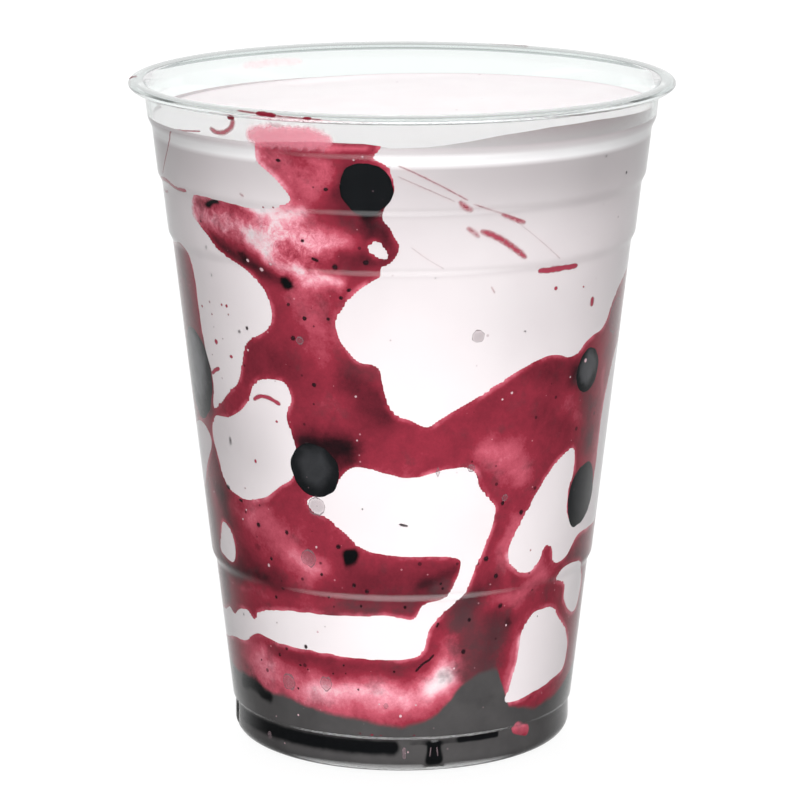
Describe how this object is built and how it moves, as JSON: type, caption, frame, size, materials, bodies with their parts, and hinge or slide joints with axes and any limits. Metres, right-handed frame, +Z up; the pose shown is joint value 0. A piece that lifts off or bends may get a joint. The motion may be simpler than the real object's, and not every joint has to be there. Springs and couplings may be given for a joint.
{
  "type": "blueberry milkshake in a clear cup",
  "caption": "Pale milkshake in a clear round plastic cup with a rolled lip, streaked with dark blueberry sauce and whole berries pressed against the wall.",
  "frame": {"origin": "centre of the cup's foot, on the surface it stands on", "axes": "+Z up along the cup's axis; the side with the large berry under the rim faces -Y"},
  "size_m": [0.098, 0.098, 0.121],
  "materials": {
    "clear_plastic": "clear thin thermoformed plastic, glossy",
    "milkshake": "thick blended milk, smooth and softly moist, pale pinkish white",
    "blueberry_sauce": "wet crushed-fruit sauce, crimson where thin and near black where thick",
    "berry_skin": "wet near-black fruit skin"
  },
  "bodies": {
    "root": {"cup": "clear_plastic", "milkshake": "milkshake", "blueberry_sauce": "blueberry_sauce", "berry_crown": "berry_skin", "berry_left": "berry_skin", "berry_middle": "berry_skin", "berry_right_high": "berry_skin", "berry_right_low": "berry_skin", "berry_back_right": "berry_skin", "berry_back": "berry_skin", "berry_back_low": "berry_skin"}
  },
  "joints": []
}
